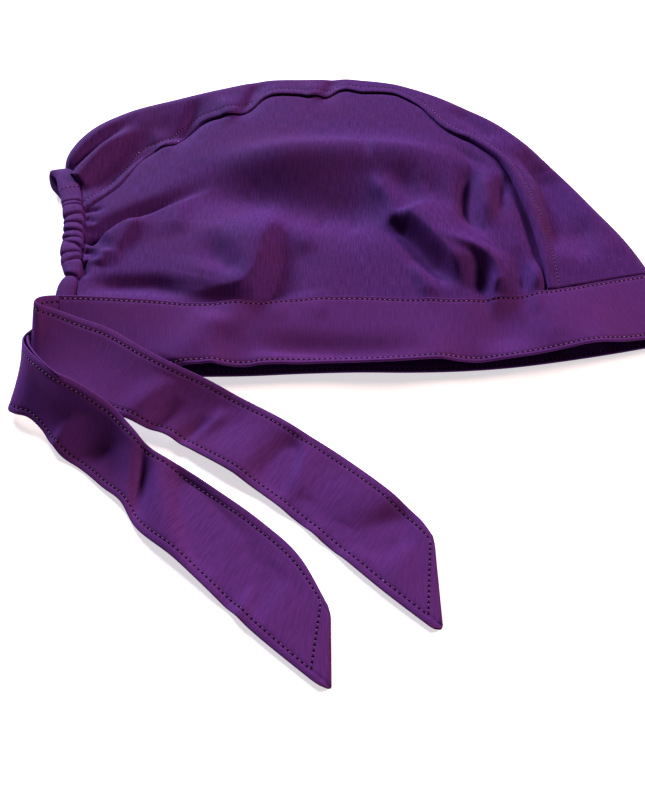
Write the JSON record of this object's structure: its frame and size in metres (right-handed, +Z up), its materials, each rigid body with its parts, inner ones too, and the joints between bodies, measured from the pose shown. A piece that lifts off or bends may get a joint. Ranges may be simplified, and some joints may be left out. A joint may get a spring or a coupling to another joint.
{
  "type": "tie-back scrub cap",
  "caption": "Soft cloth surgical cap with a folded band, long back ties and a gathered elastic nape, lying flat on its left side.",
  "frame": {"origin": "on the table under the middle of the laid-out cap, at the bottom centre of its box", "axes": "+Z up from the table, +Y from the tie ends to the top of the crown, +X towards the wearer's forehead"},
  "size_m": [0.288, 0.3425, 0.0199],
  "materials": {
    "crown_cloth": "woven cotton and polyester, soft sheen, violet",
    "strip_cloth": "folded woven strip, pressed and topstitched, violet",
    "casing_cloth": "gathered woven casing over elastic, violet"
  },
  "bodies": {
    "root": {"side_panel_right": "crown_cloth", "side_panel_left": "crown_cloth", "crown_strip": "crown_cloth", "band": "strip_cloth", "elastic_casing": "casing_cloth", "tie_right": "strip_cloth", "tie_left": "strip_cloth"}
  },
  "joints": []
}
